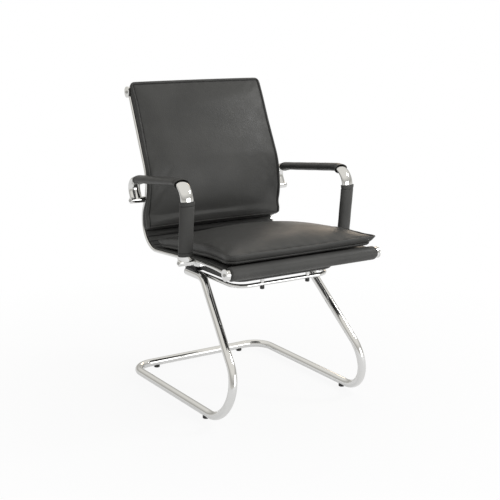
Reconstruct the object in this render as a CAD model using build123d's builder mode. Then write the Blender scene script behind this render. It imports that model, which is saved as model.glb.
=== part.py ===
from build123d import *
import os
from math import cos, radians, sin, tan

os.makedirs("parts", exist_ok=True)

# A cantilever visitor chair. X is to the sitter's side, the chair faces -Y, Z is up.
# The origin is on the floor, under the middle of the chair's box. Millimetres and degrees.

# Seat and back line: the side rails' centre line, seen from the side, from front to top.
front_roll_y = -307.0
front_roll_z = 454.0
front_rise = 6.4
front_bend_radius = 800.0
seat_slope = 4.5
seat_run = 290.0
crook_radius = 85.0
lumbar_forward = 31.5
lumbar_radius = 126.0
back_lean = 25.0
back_run = 241.5

# Side rails: flat bars with round edges, a little closer together at the back than at the front.
rail_width = 22.0
rail_thickness = 10.0
rail_outer_x = 258.0
rail_toe = 2.2
eye_radius = 16.0
eye_thickness = 8.0

# Rolls at the front and the top, their cross tubes, caps and screws.
front_roll_radius = 20.0
top_roll_radius = 18.5
cross_tube_radius = 10.0
cross_tube_wall = 2.0
cross_tube_plug = 20.0
cap_radius = 17.0
cap_thickness = 4.0
cap_round = 1.5
screw_radius = 3.0
screw_head_radius = 5.0
screw_head_height = 3.0
screw_head_taper = 25.0
screw_grip = 14.0

# Sling: the padded sheet that hangs between the rails.
sling_thickness = 6.0
sling_edge_margin = 8.0
sling_clearance = 0.3
rib_count = 4
rib_first = 20.0
rib_last = 65.0
rib_depth = 1.6

# Cushions, measured on the sling's surface.
cushion_clearance = 0.3
cushion_bulge = 2.5
cushion_sink = 4.0
seat_pad_front = 2.0
seat_pad_rear = 434.0
seat_pad_inset = 12.0
seat_pad_side = 31.0
seat_pad_crown = 36.0
seat_pad_draw = 7.0
seat_pad_lift = 8.0
back_pad_bottom = 540.0
back_pad_over = 22.0
back_pad_inset = 0.0
back_pad_side = 21.0
back_pad_crown = 12.0
back_pad_draw = 6.0

# Arms: flat oval tubes beside the rails, welded on short spacer tubes, with leather sleeves.
arm_standoff = 26.6
arm_width = 36.0
arm_thickness = 17.5
arm_wall = 1.6
arm_front_y = -121.0
arm_corner_z = 684.0
post_lean = 5.9
arm_top_slope = 6.0
arm_rear_turn = 10.0
arm_overhang = 29.0
elbow_radius = 38.0
arm_rear_radius = 30.0
spacer_radius = 8.0
spacer_out = 3.0
spacer_clearance = 0.2
arm_bolt_grip = 9.0
sleeve_thickness = 2.8
sleeve_clearance = 0.2
post_sleeve_top_gap = 8.6
post_sleeve_foot_gap = 18.0
top_sleeve_lap = 23.0
top_sleeve_wrap = 14.0

# Base: one bent tube that stands on glides.
base_tube_radius = 12.5
base_tube_wall = 2.0
glide_thickness = 6.0
rear_tube_y = 298.5
runner_rear_half = 249.0
runner_front_half = 243.0
front_corner_y = -427.0
top_half = 183.0
top_front_y = -57.0
top_end_y = 34.0
top_z = 385.0
rear_corner_radius = 65.0
front_corner_radius = 98.0
top_corner_radius = 55.0
plug_head = 3.0
plug_depth = 14.0
plug_clearance = 0.2
plug_round = 2.0
glide_radius = 9.5
glide_saddle = 5.0
glide_clearance = 0.15
glide_round = 2.0
front_glide_y = -172.0
rear_glide_half = 159.0

# Seat support bar: a thinner rod bent in a U, welded inside the base tube's top ends.
bar_radius = 6.0
bar_front_y = -212.0
bar_corner_radius = 45.0
bar_end_y = 24.0
weld_gap = 0.2
seat_bolt_half = 79.0
seat_bolt_radius = 3.0
seat_bolt_head_radius = 4.5
seat_bolt_head_height = 4.0
seat_bolt_grip = 14.0
bolt_hole_clearance = 0.3
bolt_cap_radius = 6.5
bolt_cap_height = 9.0
bolt_cap_round = 2.0
bolt_cap_clearance = 0.2
bolt_spacer_radius = 6.0

# Mount plates between the base tube and the seat board.
plate_thickness = 3.0
plate_inner = 128.0
plate_length = 60.0
plate_round = 8.0
plate_screw_inset = 14.0
plate_screw_pitch = 34.0

# Seat board and the two cross members that tie it to the rails.
board_thickness = 20.0
board_half_width = 178.0
board_front_y = -226.0
board_rear_y = 32.0
board_corner_radius = 45.0
board_round = 7.0
member_width = 30.0
member_thickness = 9.0
member_round = 4.0
member_end_inset = 4.0
rear_member_y = -17.0
member_screw_inset = 15.0
board_rib_half = 125.0
board_screw_grip = 12.0

# Cross bar behind the lower back.
back_bar_radius = 8.0
back_bar_turn = 40.0
back_bar_end_inset = 5.5

# Headings of the seat line, in degrees from +Y towards +Z, as it runs from front to top.
seat_heading = -seat_slope
crook_end_heading = 90 + lumbar_forward
back_heading = 90 - back_lean


def step(point, heading, distance):
    """The point that lies a distance away along a heading, in the side view."""
    turn = radians(heading)
    return point[0] + distance * cos(turn), point[1] + distance * sin(turn)


def shifted(point, heading, gap):
    """The point moved square to its heading, towards the sitter."""
    return step(point, heading + 90, gap)


# Corner points and arc centres of the rails' centre line.
front_point = (front_roll_y, front_roll_z)
front_centre = shifted(front_point, front_rise, -front_bend_radius)
seat_start = shifted(front_centre, seat_heading, front_bend_radius)
seat_end = step(seat_start, seat_heading, seat_run)
crook_centre = shifted(seat_end, seat_heading, crook_radius)
crook_end = shifted(crook_centre, crook_end_heading, -crook_radius)
lumbar_centre = shifted(crook_end, crook_end_heading, -lumbar_radius)
back_start = shifted(lumbar_centre, back_heading, lumbar_radius)
top_point = step(back_start, back_heading, back_run)

front_length = front_bend_radius * radians(front_rise + seat_slope)
crook_length = crook_radius * radians(crook_end_heading - seat_heading)
lumbar_length = lumbar_radius * radians(crook_end_heading - back_heading)
spine_length = front_length + seat_run + crook_length + lumbar_length + back_run


def along(distance):
    """Point and heading on the rails' centre line at a distance from the front roll."""
    if distance < front_length:
        heading = front_rise - (front_rise + seat_slope) * distance / front_length
        return shifted(front_centre, heading, front_bend_radius), heading
    distance -= front_length
    if distance < seat_run:
        return step(seat_start, seat_heading, distance), seat_heading
    distance -= seat_run
    if distance < crook_length:
        heading = seat_heading + (crook_end_heading - seat_heading) * distance / crook_length
        return shifted(crook_centre, heading, -crook_radius), heading
    distance -= crook_length
    if distance < lumbar_length:
        heading = crook_end_heading - (crook_end_heading - back_heading) * distance / lumbar_length
        return shifted(lumbar_centre, heading, lumbar_radius), heading
    return step(back_start, back_heading, distance - lumbar_length), back_heading


def draw_spine(gap, place=tuple):
    """Draws the line that runs beside the rails' centre line at a gap towards the sitter."""

    def flat(point, heading):
        return place(shifted(point, heading, gap))

    def middle(centre, first, last, radius):
        heading = (first + last) / 2
        return flat(shifted(centre, heading, radius), heading)

    start = flat(front_point, front_rise)
    seat_first = flat(seat_start, seat_heading)
    seat_last = flat(seat_end, seat_heading)
    crook_last = flat(crook_end, crook_end_heading)
    back_first = flat(back_start, back_heading)
    front_middle = middle(front_centre, front_rise, seat_heading, front_bend_radius)
    crook_middle = middle(crook_centre, seat_heading, crook_end_heading, -crook_radius)
    lumbar_middle = middle(lumbar_centre, crook_end_heading, back_heading, lumbar_radius)
    top = flat(top_point, back_heading)
    ThreePointArc(start, front_middle, seat_first)
    Line(seat_first, seat_last)
    ThreePointArc(seat_last, crook_middle, crook_last)
    ThreePointArc(crook_last, lumbar_middle, back_first)
    Line(back_first, top)
    return start, top


def rail_outer_at(y):
    """Half width over the rails at a place from front to back."""
    return rail_outer_x - (y - front_roll_y) * tan(radians(rail_toe))


def rail_plane(inset, side=1):
    """A rail's own upright plane, set in from its outer face and facing out; side is 1 on the right."""
    toe = radians(rail_toe)
    origin = (side * (rail_outer_x - inset / cos(toe)), front_roll_y, 0)
    return Plane(origin=origin, x_dir=(-side * sin(toe), cos(toe), 0), z_dir=(side * cos(toe), sin(toe), 0))


def on_rail(point):
    """A point of the side view as it lies in a rail's own plane."""
    return (point[0] - front_roll_y) / cos(radians(rail_toe)), point[1]


roll_centres = [(*on_rail(front_point), front_roll_radius), (*on_rail(top_point), top_roll_radius)]

# Places on the rails where the arms are bolted on.
seat_fall = tan(radians(seat_slope))
arm_rear_heading = crook_end_heading - arm_rear_turn
arm_front = on_rail((arm_front_y, seat_start[1] - (arm_front_y - seat_start[0]) * seat_fall))
arm_rear = on_rail(shifted(lumbar_centre, arm_rear_heading, lumbar_radius))

# Side rails: the bar is swept along the seat line, cleared for the rolls, and ends in two eyes.
# Two tapped holes in its outer side take the arm's bolts.
roll_clearance = sling_clearance + rail_width * tan(radians(rail_toe))
with BuildPart() as rail_right:
    with BuildLine(rail_plane(rail_width / 2)) as rail_line:
        draw_spine(0, on_rail)
    with BuildSketch(
        Plane(origin=rail_line.line @ 0, x_dir=rail_plane(0).z_dir, z_dir=rail_line.line % 0)
    ):
        SlotOverall(rail_width, rail_thickness)
    sweep()
    for centre_y, centre_up, roll_radius in roll_centres:
        with BuildSketch(rail_plane(eye_thickness)):
            with Locations((centre_y, centre_up)):
                Circle(roll_radius + roll_clearance)
        extrude(amount=-rail_width, mode=Mode.SUBTRACT)
        with BuildSketch(rail_plane(eye_thickness)):
            with Locations((centre_y, centre_up)):
                Circle(eye_radius)
        extrude(amount=eye_thickness)
        with BuildSketch(rail_plane(0)):
            with Locations((centre_y, centre_up)):
                Circle(screw_radius + bolt_hole_clearance)
        extrude(amount=-eye_thickness, mode=Mode.SUBTRACT)
    with BuildSketch(rail_plane(0)):
        with Locations(arm_front, arm_rear):
            Circle(screw_radius)
    extrude(amount=-arm_bolt_grip, mode=Mode.SUBTRACT)
rail_right.part.label = "rail_right"
export_step(rail_right.part, "parts/rail_right.step")

with BuildPart() as rail_left:
    mirror(rail_right.part, about=Plane.YZ)
rail_left.part.label = "rail_left"
export_step(rail_left.part, "parts/rail_left.step")


def cross_tube(center_y, center_z, half_length):
    """A tube across the chair with closed, tapped ends, made about its own axis."""
    axis_plane = Plane(origin=(0, center_y, center_z), x_dir=(1, 0, 0), z_dir=(0, -1, 0))
    tapped = screw_radius + (screw_grip + eye_thickness) * tan(radians(rail_toe))
    inner = cross_tube_radius - cross_tube_wall
    hollow = half_length - cross_tube_plug
    with BuildSketch(axis_plane) as profile:
        with BuildLine():
            Polyline(
                (-half_length, tapped),
                (-half_length, cross_tube_radius),
                (half_length, cross_tube_radius),
                (half_length, tapped),
                (hollow, tapped),
                (hollow, inner),
                (-hollow, inner),
                (-hollow, tapped),
                close=True,
            )
        make_face()
    revolve(profile.sketch, axis=Axis((0, center_y, center_z), (1, 0, 0)))


# Cross tubes inside the front and the top roll; their ends stop just short of the eyes.
eye_slack = cross_tube_radius * tan(radians(rail_toe)) + sling_clearance
with BuildPart() as front_cross_tube:
    cross_tube(front_roll_y, front_roll_z, rail_outer_at(front_roll_y) - eye_thickness - eye_slack)
front_cross_tube.part.label = "front_cross_tube"
export_step(front_cross_tube.part, "parts/front_cross_tube.step")

with BuildPart() as top_cross_tube:
    cross_tube(*top_point, rail_outer_at(top_point[0]) - eye_thickness - eye_slack)
top_cross_tube.part.label = "top_cross_tube"
export_step(top_cross_tube.part, "parts/top_cross_tube.step")


def end_cap(centre_y, centre_up):
    """A flat round cap on the outside of a rail's eye, with a hole for its screw."""
    with BuildSketch(rail_plane(0)) as disc:
        with Locations((centre_y, centre_up)):
            Circle(cap_radius)
            Circle(screw_radius + bolt_hole_clearance, mode=Mode.SUBTRACT)
    extrude(disc.sketch, amount=cap_thickness)


def cap_screw(centre_y, centre_up):
    """A button-head screw that goes through a cap and a rail's eye into the cross tube."""
    with BuildSketch(rail_plane(0).offset(cap_thickness)) as head:
        with Locations((centre_y, centre_up)):
            Circle(screw_head_radius)
    extrude(head.sketch, amount=screw_head_height, taper=screw_head_taper)
    with BuildSketch(rail_plane(0).offset(cap_thickness)) as shank:
        with Locations((centre_y, centre_up)):
            Circle(screw_radius - bolt_hole_clearance)
    extrude(shank.sketch, amount=-cap_thickness - eye_thickness - screw_grip)


with BuildPart() as end_caps:
    for centre_y, centre_up, roll_radius in roll_centres:
        end_cap(centre_y, centre_up)
    outer_rims = end_caps.faces().sort_by(Axis.X)[-2:].edges().filter_by(GeomType.CIRCLE)
    fillet(outer_rims.group_by(SortBy.RADIUS)[-1], cap_round)
    mirror(about=Plane.YZ)
end_caps.part.label = "end_caps"
export_step(end_caps.part, "parts/end_caps.step")

with BuildPart() as end_cap_screws:
    for centre_y, centre_up, roll_radius in roll_centres:
        cap_screw(centre_y, centre_up)
    mirror(about=Plane.YZ)
end_cap_screws.part.label = "end_cap_screws"
export_step(end_cap_screws.part, "parts/end_cap_screws.step")

# Sling: a band on the sitter's side of the rails, rolled round both cross tubes.
sling_under = rail_thickness / 2 + sling_clearance
sling_face = sling_under + sling_thickness
with BuildPart() as sling:
    with BuildSketch(Plane.YZ):
        with BuildLine():
            lower = draw_spine(sling_under)
            upper = draw_spine(sling_face)
            Line(lower[0], upper[0])
            Line(lower[1], upper[1])
        make_face()
        with Locations(front_point):
            Circle(front_roll_radius)
            Circle(cross_tube_radius + sling_clearance, mode=Mode.SUBTRACT)
        with Locations(top_point):
            Circle(top_roll_radius)
            Circle(cross_tube_radius + sling_clearance, mode=Mode.SUBTRACT)
        for rib in range(rib_count):
            heading = rib_first + (rib_last - rib_first) * rib / (rib_count - 1)
            with Locations(shifted(crook_centre, heading, sling_face - crook_radius)):
                Circle(rib_depth, mode=Mode.SUBTRACT)
    extrude(amount=rail_outer_x, both=True)
    for side in (1, -1):
        split(bisect_by=rail_plane(sling_edge_margin, side), keep=Keep.BOTTOM)
sling.part.label = "sling"
export_step(sling.part, "parts/sling.step")


def plane_across(distance, gap):
    """A plane square to the seat line; its local X is across the chair and Y is to the sitter."""
    point, heading = along(distance)
    y, z = shifted(point, heading, gap)
    turn = radians(heading)
    return Plane(origin=(0, y, z), x_dir=(1, 0, 0), z_dir=(0, -cos(turn), -sin(turn)))


def cushion_section(distance, half_width, under, side, crown):
    """One cross section of a cushion above the sling's face: boxed sides and a crowned top."""
    middle = (under + side) / 2
    with BuildSketch(plane_across(distance, pad_rest)) as section:
        with BuildLine():
            Line((-half_width, under), (half_width, under))
            ThreePointArc((half_width, under), (half_width + cushion_bulge, middle), (half_width, side))
            ThreePointArc((half_width, side), (0, side + crown), (-half_width, side))
            ThreePointArc((-half_width, side), (-half_width - cushion_bulge, middle), (-half_width, under))
        make_face()
    return section.sketch


def bed():
    """What the cushions lie on: the sling's face and both rolls, grown by the clearance."""
    with BuildSketch(Plane.YZ) as band:
        with BuildLine():
            lower = draw_spine(-rail_thickness)
            upper = draw_spine(pad_rest)
            Line(lower[0], upper[0])
            Line(lower[1], upper[1])
        make_face()
        with Locations(front_point):
            Circle(front_roll_radius + cushion_clearance)
        with Locations(top_point):
            Circle(top_roll_radius + cushion_clearance)
    return band.sketch


# Seat pad: crowned in the middle, drawn in along its sides, with wide lifted front corners.
pad_rest = sling_face + cushion_clearance
seat_pad_length = seat_pad_rear - seat_pad_front
with BuildPart() as seat_pad:
    seat_sections = []
    for share, lift, draw, side, crown in (
        (0.0, 1.0, -0.7, 1.0, -0.1),
        (0.12, 0.6, 0.3, 0.95, 0.6),
        (0.42, 0.0, 1.0, 1.0, 1.0),
        (0.75, 0.0, 0.6, 0.9, 0.8),
        (1.0, 0.0, 0.0, 0.6, 0.3),
    ):
        distance = seat_pad_front + share * seat_pad_length
        half = rail_outer_at(along(distance)[0][0]) - seat_pad_inset - draw * seat_pad_draw
        under = lift * seat_pad_lift - (1 - lift) * cushion_sink
        side_top = side * seat_pad_side + lift * seat_pad_lift
        seat_sections.append(cushion_section(distance, half, under, side_top, crown * seat_pad_crown))
    loft(seat_sections)
    extrude(bed(), amount=rail_outer_x, both=True, mode=Mode.SUBTRACT)
seat_pad.part.label = "seat_pad"
export_step(seat_pad.part, "parts/seat_pad.step")

# Back pad: from the crook, where it is thickest, over the lumbar bend to above the top roll.
back_pad_top = spine_length + back_pad_over
back_pad_length = back_pad_top - back_pad_bottom
with BuildPart() as back_pad:
    back_sections = []
    for share, draw, side, crown in (
        (0.0, -0.5, 1.45, 0.3),
        (0.09, -0.2, 1.6, 0.5),
        (0.2, 0.4, 1.2, 0.8),
        (0.33, 1.0, 0.85, 1.0),
        (0.5, 1.0, 1.0, 1.0),
        (0.7, 1.0, 1.0, 1.0),
        (0.88, 0.6, 1.0, 0.8),
        (1.0, 0.0, 0.75, 0.3),
    ):
        distance = back_pad_bottom + share * back_pad_length
        half = rail_outer_at(along(distance)[0][0]) - back_pad_inset - draw * back_pad_draw
        back_sections.append(
            cushion_section(distance, half, -cushion_sink, side * back_pad_side, crown * back_pad_crown)
        )
    loft(back_sections)
    extrude(bed(), amount=rail_outer_x, both=True, mode=Mode.SUBTRACT)
back_pad.part.label = "back_pad"
export_step(back_pad.part, "parts/back_pad.step")

# Arms: the flat oval tube runs up the post, over the elbow, back along the top and down.
arm_elbow = (arm_front[0] - (arm_corner_z - arm_front[1]) * tan(radians(post_lean)), arm_corner_z)
arm_rear_run = arm_rear[0] + arm_overhang
arm_fall = tan(radians(arm_top_slope))
arm_rear_corner = (arm_rear_run, arm_corner_z - (arm_rear_run - arm_elbow[0]) * arm_fall)
arm_points = [arm_front, arm_elbow, arm_rear_corner, arm_rear]
arm_plane = rail_plane(0).offset(arm_standoff)
spacer_end = arm_standoff + arm_width / 2 + spacer_out
spacer_plane = rail_plane(0).offset(spacer_end)
spacer_length = spacer_end - spacer_clearance


def arm_section(line, extra):
    """The arm's flat oval, grown all round by an extra, square to the start of a line."""
    with BuildSketch(Plane(origin=line @ 0, x_dir=arm_plane.z_dir, z_dir=line % 0)) as oval:
        SlotOverall(arm_width + 2 * extra, arm_thickness + 2 * extra)
    return oval.sketch


with BuildPart() as arm_right:
    with BuildLine(arm_plane) as arm_line:
        FilletPolyline(*arm_points, radius=[elbow_radius, arm_rear_radius])
    sweep(arm_section(arm_line.line, 0), path=arm_line.line)
    with BuildSketch(spacer_plane) as spacers:
        with Locations(arm_front, arm_rear):
            Circle(spacer_radius)
    extrude(amount=-spacer_length)
    sweep(arm_section(arm_line.line, -arm_wall), path=arm_line.line, mode=Mode.SUBTRACT)
    extrude(spacers.sketch, amount=-spacer_length)
    with BuildSketch(spacer_plane):
        with Locations(arm_front, arm_rear):
            Circle(screw_radius + bolt_hole_clearance)
    extrude(amount=-spacer_length, mode=Mode.SUBTRACT)
arm_right.part.label = "arm_right"
export_step(arm_right.part, "parts/arm_right.step")

with BuildPart() as arm_left:
    mirror(arm_right.part, about=Plane.YZ)
arm_left.part.label = "arm_left"
export_step(arm_left.part, "parts/arm_left.step")

# Arm bolts: each goes through a spacer tube and is tight in the rail behind it.
with BuildPart() as arm_bolts:
    with BuildSketch(spacer_plane):
        with Locations(arm_front, arm_rear):
            Circle(screw_head_radius)
    extrude(amount=screw_head_height, taper=screw_head_taper)
    with BuildSketch(spacer_plane):
        with Locations(arm_front, arm_rear):
            Circle(screw_radius)
    extrude(amount=-spacer_end - arm_bolt_grip)
    mirror(about=Plane.YZ)
arm_bolts.part.label = "arm_bolts"
export_step(arm_bolts.part, "parts/arm_bolts.step")


def sleeve(line):
    """A leather sleeve of even thickness round the arm, along a stretch of its line."""
    sweep(arm_section(line, sleeve_clearance + sleeve_thickness), path=line)
    sweep(arm_section(line, sleeve_clearance), path=line, mode=Mode.SUBTRACT)


# Post sleeve: on the straight post, between the spacer tube and the elbow.
post_turn = 90 + post_lean + arm_top_slope
post_heading = 90 + post_lean
elbow_tangent = elbow_radius * tan(radians(post_turn / 2))
post_sleeve_foot = step(arm_front, post_heading, spacer_radius + post_sleeve_foot_gap)
post_sleeve_top = step(arm_elbow, post_heading, -elbow_tangent - post_sleeve_top_gap)
with BuildPart() as post_sleeve_right:
    with BuildLine(arm_plane) as post_sleeve_line:
        Line(post_sleeve_foot, post_sleeve_top)
    sleeve(post_sleeve_line.line)
post_sleeve_right.part.label = "post_sleeve_right"
export_step(post_sleeve_right.part, "parts/post_sleeve_right.step")

with BuildPart() as post_sleeve_left:
    mirror(post_sleeve_right.part, about=Plane.YZ)
post_sleeve_left.part.label = "post_sleeve_left"
export_step(post_sleeve_left.part, "parts/post_sleeve_left.step")

# Top sleeve: from the upper part of the elbow along the top to the start of the rear bend.
with BuildPart() as top_sleeve_right:
    with BuildLine(arm_plane) as top_sleeve_line:
        elbow_end = step(arm_elbow, -arm_top_slope, elbow_tangent)
        elbow_centre = step(elbow_end, -arm_top_slope - 90, elbow_radius)
        lap_heading = top_sleeve_lap - arm_top_slope
        lap_start = step(elbow_centre, lap_heading + 90, elbow_radius)
        JernArc(lap_start, (cos(radians(lap_heading)), sin(radians(lap_heading))),
                elbow_radius, -top_sleeve_lap)
        rear_edges = arm_line.line.edges().filter_by(GeomType.CIRCLE).sort_by(Axis.Y)
        rear_arc = rear_edges[-1]
        bend_start = arm_plane.to_local_coords(rear_arc @ 0)
        Line(elbow_end, (bend_start.X, bend_start.Y))
        JernArc((bend_start.X, bend_start.Y), (cos(radians(arm_top_slope)), -sin(radians(arm_top_slope))),
                arm_rear_radius, -top_sleeve_wrap)
    sleeve(top_sleeve_line.line)
top_sleeve_right.part.label = "top_sleeve_right"
export_step(top_sleeve_right.part, "parts/top_sleeve_right.step")

with BuildPart() as top_sleeve_left:
    mirror(top_sleeve_right.part, about=Plane.YZ)
top_sleeve_left.part.label = "top_sleeve_left"
export_step(top_sleeve_left.part, "parts/top_sleeve_left.step")

# Base tube: one hollow tube bent through both sides, open at its two top ends.
runner_z = glide_thickness + base_tube_radius
side_corners = [
    (top_half, top_end_y, top_z),
    (top_half, top_front_y, top_z),
    (runner_front_half, front_corner_y, runner_z),
    (runner_rear_half, rear_tube_y, runner_z),
]
tube_corners = side_corners + [(-x, y, z) for x, y, z in reversed(side_corners)]
side_radii = [top_corner_radius, front_corner_radius, rear_corner_radius]
with BuildPart() as base_tube:
    with BuildLine() as base_line:
        FilletPolyline(*tube_corners, radius=side_radii + side_radii[::-1])
    with BuildSketch(Plane(origin=base_line.line @ 0, z_dir=base_line.line % 0)):
        Circle(base_tube_radius)
        Circle(base_tube_radius - base_tube_wall, mode=Mode.SUBTRACT)
    sweep()
base_tube.part.label = "base_tube"
export_step(base_tube.part, "parts/base_tube.step")

# Plugs that close the base tube's two top ends.
with BuildPart() as tube_plugs:
    with BuildSketch(Plane(origin=(top_half, top_end_y, top_z), z_dir=(0, 1, 0))):
        Circle(base_tube_radius)
    extrude(amount=plug_head)
    fillet(tube_plugs.faces().sort_by(Axis.Y)[-1].edges(), plug_round)
    with BuildSketch(Plane(origin=(top_half, top_end_y, top_z), z_dir=(0, 1, 0))):
        Circle(base_tube_radius - base_tube_wall - plug_clearance)
    extrude(amount=-plug_depth)
    mirror(about=Plane.YZ)
tube_plugs.part.label = "tube_plugs"
export_step(tube_plugs.part, "parts/tube_plugs.step")

# Floor glides: round saddles under the runners and under the rear cross run.
runner_half_at_glide = runner_front_half + (runner_rear_half - runner_front_half) * (
    (front_glide_y - front_corner_y) / (rear_tube_y - front_corner_y)
)
glide_spots = [
    ((runner_half_at_glide, front_glide_y), (0, 1, 0)),
    ((rear_glide_half, rear_tube_y), (1, 0, 0)),
]
with BuildPart() as floor_glides:
    for (x, y), run in glide_spots:
        with BuildSketch():
            with Locations((x, y)):
                Circle(glide_radius)
        extrude(amount=glide_thickness + glide_saddle)
    fillet(floor_glides.faces().filter_by(Plane.XY).group_by(Axis.Z)[0].edges(), glide_round)
    for (x, y), run in glide_spots:
        with BuildSketch(Plane(origin=(x, y, runner_z), z_dir=run)):
            Circle(base_tube_radius + glide_clearance)
        extrude(amount=2 * glide_radius, both=True, mode=Mode.SUBTRACT)
    mirror(about=Plane.YZ)
floor_glides.part.label = "floor_glides"
export_step(floor_glides.part, "parts/floor_glides.step")

# Seat support bar: a rod bent in a U beside the base tube's top runs, drilled for two bolts.
bar_half = top_half - base_tube_radius - bar_radius - weld_gap
board_bottom = top_z + base_tube_radius + plate_thickness
bolt_spots = [(seat_bolt_half, bar_front_y), (-seat_bolt_half, bar_front_y)]
bolt_hole = seat_bolt_radius + bolt_hole_clearance
with BuildPart() as seat_support_bar:
    with BuildLine() as bar_line:
        FilletPolyline(
            (bar_half, bar_end_y, top_z),
            (bar_half, bar_front_y, top_z),
            (-bar_half, bar_front_y, top_z),
            (-bar_half, bar_end_y, top_z),
            radius=[bar_corner_radius, bar_corner_radius],
        )
    with BuildSketch(Plane(origin=bar_line.line @ 0, z_dir=bar_line.line % 0)):
        Circle(bar_radius)
    sweep()
    with BuildSketch(Plane.XY.offset(top_z)):
        with Locations(*bolt_spots):
            Circle(bolt_hole)
    extrude(amount=2 * bar_radius, both=True, mode=Mode.SUBTRACT)
seat_support_bar.part.label = "seat_support_bar"
export_step(seat_support_bar.part, "parts/seat_support_bar.step")

# Spacers that hold the seat board off the support bar.
with BuildPart() as bolt_spacers:
    with BuildSketch(Plane.XY.offset(top_z + bar_radius)):
        with Locations(*bolt_spots):
            Circle(bolt_spacer_radius)
            Circle(bolt_hole, mode=Mode.SUBTRACT)
    extrude(amount=board_bottom - top_z - bar_radius)
bolt_spacers.part.label = "bolt_spacers"
export_step(bolt_spacers.part, "parts/bolt_spacers.step")

# Bolts that go up through the support bar and its spacers into the seat board.
bolt_seat_z = top_z - bar_radius
with BuildPart() as seat_bolts:
    with BuildSketch(Plane.XY.offset(bolt_seat_z)):
        with Locations(*bolt_spots):
            Circle(seat_bolt_head_radius)
    extrude(amount=-seat_bolt_head_height)
    with BuildSketch(Plane.XY.offset(bolt_seat_z)):
        with Locations(*bolt_spots):
            Circle(seat_bolt_radius)
    extrude(amount=board_bottom + seat_bolt_grip - bolt_seat_z)
seat_bolts.part.label = "seat_bolts"
export_step(seat_bolts.part, "parts/seat_bolts.step")

# Caps pressed over the bolts' heads from below.
with BuildPart() as bolt_caps:
    with BuildSketch(Plane.XY.offset(bolt_seat_z)):
        with Locations(*bolt_spots):
            Circle(bolt_cap_radius)
    extrude(amount=-bolt_cap_height)
    fillet(bolt_caps.faces().sort_by(Axis.Z)[:2].edges(), bolt_cap_round)
    with BuildSketch(Plane.XY.offset(bolt_seat_z)):
        with Locations(*bolt_spots):
            Circle(seat_bolt_head_radius + bolt_cap_clearance)
    extrude(amount=-seat_bolt_head_height - bolt_cap_clearance, mode=Mode.SUBTRACT)
bolt_caps.part.label = "bolt_caps"
export_step(bolt_caps.part, "parts/bolt_caps.step")

# Mount plates: welded on the base tube's top runs and screwed to the seat board.
plate_z = top_z + base_tube_radius
plate_outer = top_half + base_tube_radius
plate_middle_y = top_end_y - plate_length / 2
plate_screw_x = plate_inner + plate_screw_inset
plate_screw_spots = [
    (plate_screw_x, plate_middle_y - plate_screw_pitch / 2),
    (plate_screw_x, plate_middle_y + plate_screw_pitch / 2),
]
with BuildPart() as mount_plates:
    with BuildSketch(Plane.XY.offset(plate_z)):
        with Locations(((plate_inner + plate_outer) / 2, plate_middle_y)):
            RectangleRounded(plate_outer - plate_inner, plate_length, plate_round)
        with Locations(*plate_screw_spots):
            Circle(screw_radius + bolt_hole_clearance, mode=Mode.SUBTRACT)
    extrude(amount=plate_thickness)
    mirror(about=Plane.YZ)
mount_plates.part.label = "mount_plates"
export_step(mount_plates.part, "parts/mount_plates.step")

with BuildPart() as plate_screws:
    with BuildSketch(Plane.XY.offset(plate_z)):
        with Locations(*plate_screw_spots):
            Circle(screw_head_radius)
    extrude(amount=-screw_head_height, taper=screw_head_taper)
    with BuildSketch(Plane.XY.offset(plate_z)):
        with Locations(*plate_screw_spots):
            Circle(screw_radius)
    extrude(amount=plate_thickness + board_screw_grip)
    mirror(about=Plane.YZ)
plate_screws.part.label = "plate_screws"
export_step(plate_screws.part, "parts/plate_screws.step")

# Cross members: flat bars under the rails, square to the seat's slope.
member_top_gap = -rail_thickness / 2 - weld_gap


def seat_plane(y):
    """A plane on the rails' underside, parallel to the seat's slope, above a place on the floor."""
    middle_z = seat_start[1] - (y - seat_start[0]) * seat_fall
    under_y, under_z = shifted((y, middle_z), seat_heading, member_top_gap)
    slope = radians(seat_slope)
    return Plane(origin=(0, under_y, under_z), x_dir=(1, 0, 0), z_dir=(0, sin(slope), cos(slope)))


members = [
    (seat_plane(y), rail_outer_at(y) - member_end_inset, rail_outer_at(y) - member_screw_inset)
    for y in (arm_front_y, rear_member_y)
]


def cross_member(plane, half, screw_x):
    """A flat bar with rounded ends, drilled for its rail screws."""
    with BuildSketch(plane) as outline:
        RectangleRounded(2 * half, member_width, member_width / 2 - member_round)
        with Locations((screw_x, 0), (-screw_x, 0)):
            Circle(screw_radius + bolt_hole_clearance, mode=Mode.SUBTRACT)
    extrude(outline.sketch, amount=-member_thickness)


with BuildPart() as front_cross_member:
    cross_member(*members[0])
front_cross_member.part.label = "front_cross_member"
export_step(front_cross_member.part, "parts/front_cross_member.step")

with BuildPart() as rear_cross_member:
    cross_member(*members[1])
rear_cross_member.part.label = "rear_cross_member"
export_step(rear_cross_member.part, "parts/rear_cross_member.step")

# Screws that hold the cross members up against the rails.
with BuildPart() as member_screws:
    for plane, half, screw_x in members:
        with BuildSketch(plane.offset(-member_thickness)):
            with Locations((screw_x, 0), (-screw_x, 0)):
                Circle(screw_head_radius)
        extrude(amount=-screw_head_height, taper=screw_head_taper)
        with BuildSketch(plane.offset(-member_thickness)):
            with Locations((screw_x, 0), (-screw_x, 0)):
                Circle(screw_radius)
        extrude(amount=member_thickness)
member_screws.part.label = "member_screws"
export_step(member_screws.part, "parts/member_screws.step")

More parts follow.
